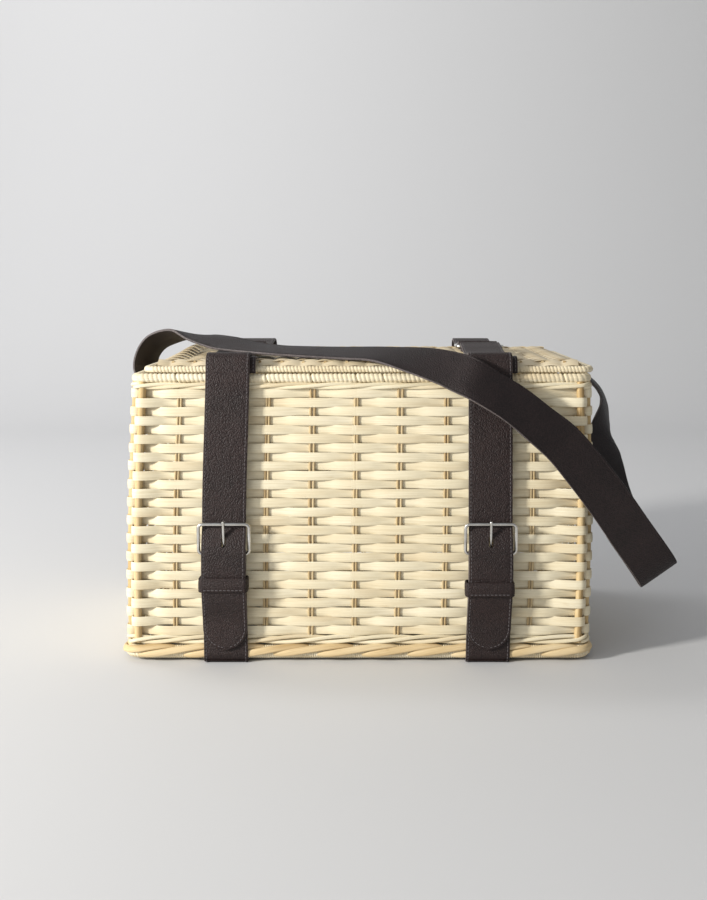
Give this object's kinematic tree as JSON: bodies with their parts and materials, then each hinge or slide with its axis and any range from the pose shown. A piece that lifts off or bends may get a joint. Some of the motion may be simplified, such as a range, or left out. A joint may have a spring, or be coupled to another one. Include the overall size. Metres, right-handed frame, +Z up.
{
  "type": "lidded wicker basket",
  "caption": "Woven cane box with a hinged lid, held shut by leather belts with wire buckles, and a leather shoulder strap.",
  "frame": {"origin": "on the surface that the basket stands on, under the middle of the woven body", "axes": "+X to the right of the buckled front, +Y towards the lid's hinges, +Z up"},
  "size_m": [0.519, 0.3162, 0.2985],
  "materials": {
    "cane": "natural peeled willow and split cane, dry and matt",
    "cane_dark": "unpeeled tan cane, matt",
    "leather": "dark brown pebbled leather with painted edges and tonal stitching",
    "nickel": "polished nickel wire"
  },
  "bodies": {
    "basket": {"base_weave": "cane", "base_battens": "cane_dark", "outer_weavers": "cane", "inner_weavers": "cane", "side_stakes": "cane_dark", "corner_posts": "cane_dark", "lower_waling": "cane", "upper_waling": "cane", "foot_border": "cane_dark", "rim_border": "cane", "left_belt": "leather", "right_belt": "leather", "left_keeper": "leather", "right_keeper": "leather", "left_hinge_loop": "leather", "right_hinge_loop": "leather", "strap_studs": "nickel"},
    "lid": {"lid_border": "cane", "lid_weave": "cane", "lid_ribs": "cane_dark", "left_front_lid_strap": "leather", "left_rear_lid_strap": "leather", "left_lid_ring": "nickel", "left_lid_saddle": "leather", "right_front_lid_strap": "leather", "right_rear_lid_strap": "leather", "right_lid_ring": "nickel", "right_lid_saddle": "leather"},
    "left_billet_flap": {"left_billet": "leather"},
    "left_buckle_frame": {"left_buckle": "nickel"},
    "left_buckle_prong": {"left_prong": "nickel"},
    "right_billet_flap": {"right_billet": "leather"},
    "right_buckle_frame": {"right_buckle": "nickel"},
    "right_buckle_prong": {"right_prong": "nickel"},
    "carry_strap": {"shoulder_strap": "leather", "left_strap_end": "leather", "right_strap_end": "leather"}
  },
  "joints": [
    {"name": "lid_hinge", "type": "hinge", "parent": "basket", "child": "lid", "pos_m": [0, 0.129, 0.2645], "axis": [-1, 0, 0], "range_deg": [0, 100]},
    {"name": "left_billet_swing", "type": "hinge", "parent": "lid", "child": "left_billet_flap", "pos_m": [-0.124, -0.1411, 0.274], "axis": [-1, 0, 0], "range_deg": [0, 120], "deforming": ["left_billet"]},
    {"name": "left_buckle_tilt", "type": "hinge", "parent": "basket", "child": "left_buckle_frame", "pos_m": [-0.124, -0.1416, 0.099], "axis": [1, 0, 0], "range_deg": [0, 120]},
    {"name": "left_prong_tilt", "type": "hinge", "parent": "basket", "child": "left_buckle_prong", "pos_m": [-0.124, -0.1416, 0.099], "axis": [1, 0, 0], "range_deg": [0, 132]},
    {"name": "right_billet_swing", "type": "hinge", "parent": "lid", "child": "right_billet_flap", "pos_m": [0.117, -0.1411, 0.274], "axis": [-1, 0, 0], "range_deg": [0, 120], "deforming": ["right_billet"]},
    {"name": "right_buckle_tilt", "type": "hinge", "parent": "basket", "child": "right_buckle_frame", "pos_m": [0.117, -0.1416, 0.099], "axis": [1, 0, 0], "range_deg": [0, 120]},
    {"name": "right_prong_tilt", "type": "hinge", "parent": "basket", "child": "right_buckle_prong", "pos_m": [0.117, -0.1416, 0.099], "axis": [1, 0, 0], "range_deg": [0, 132]},
    {"name": "strap_swing", "type": "hinge", "parent": "basket", "child": "carry_strap", "pos_m": [0, 0, 0.215], "axis": [-1, 0, 0], "range_deg": [0, 45], "deforming": ["shoulder_strap"]}
  ],
  "couplings": [
    {"joint": "left_buckle_tilt", "follows": "left_billet_swing", "ratio": 1},
    {"joint": "left_prong_tilt", "follows": "left_billet_swing", "ratio": 1.1},
    {"joint": "right_buckle_tilt", "follows": "right_billet_swing", "ratio": 1},
    {"joint": "right_prong_tilt", "follows": "right_billet_swing", "ratio": 1.1},
    {"joint": "strap_swing", "follows": "lid_hinge", "ratio": 0.45}
  ]
}
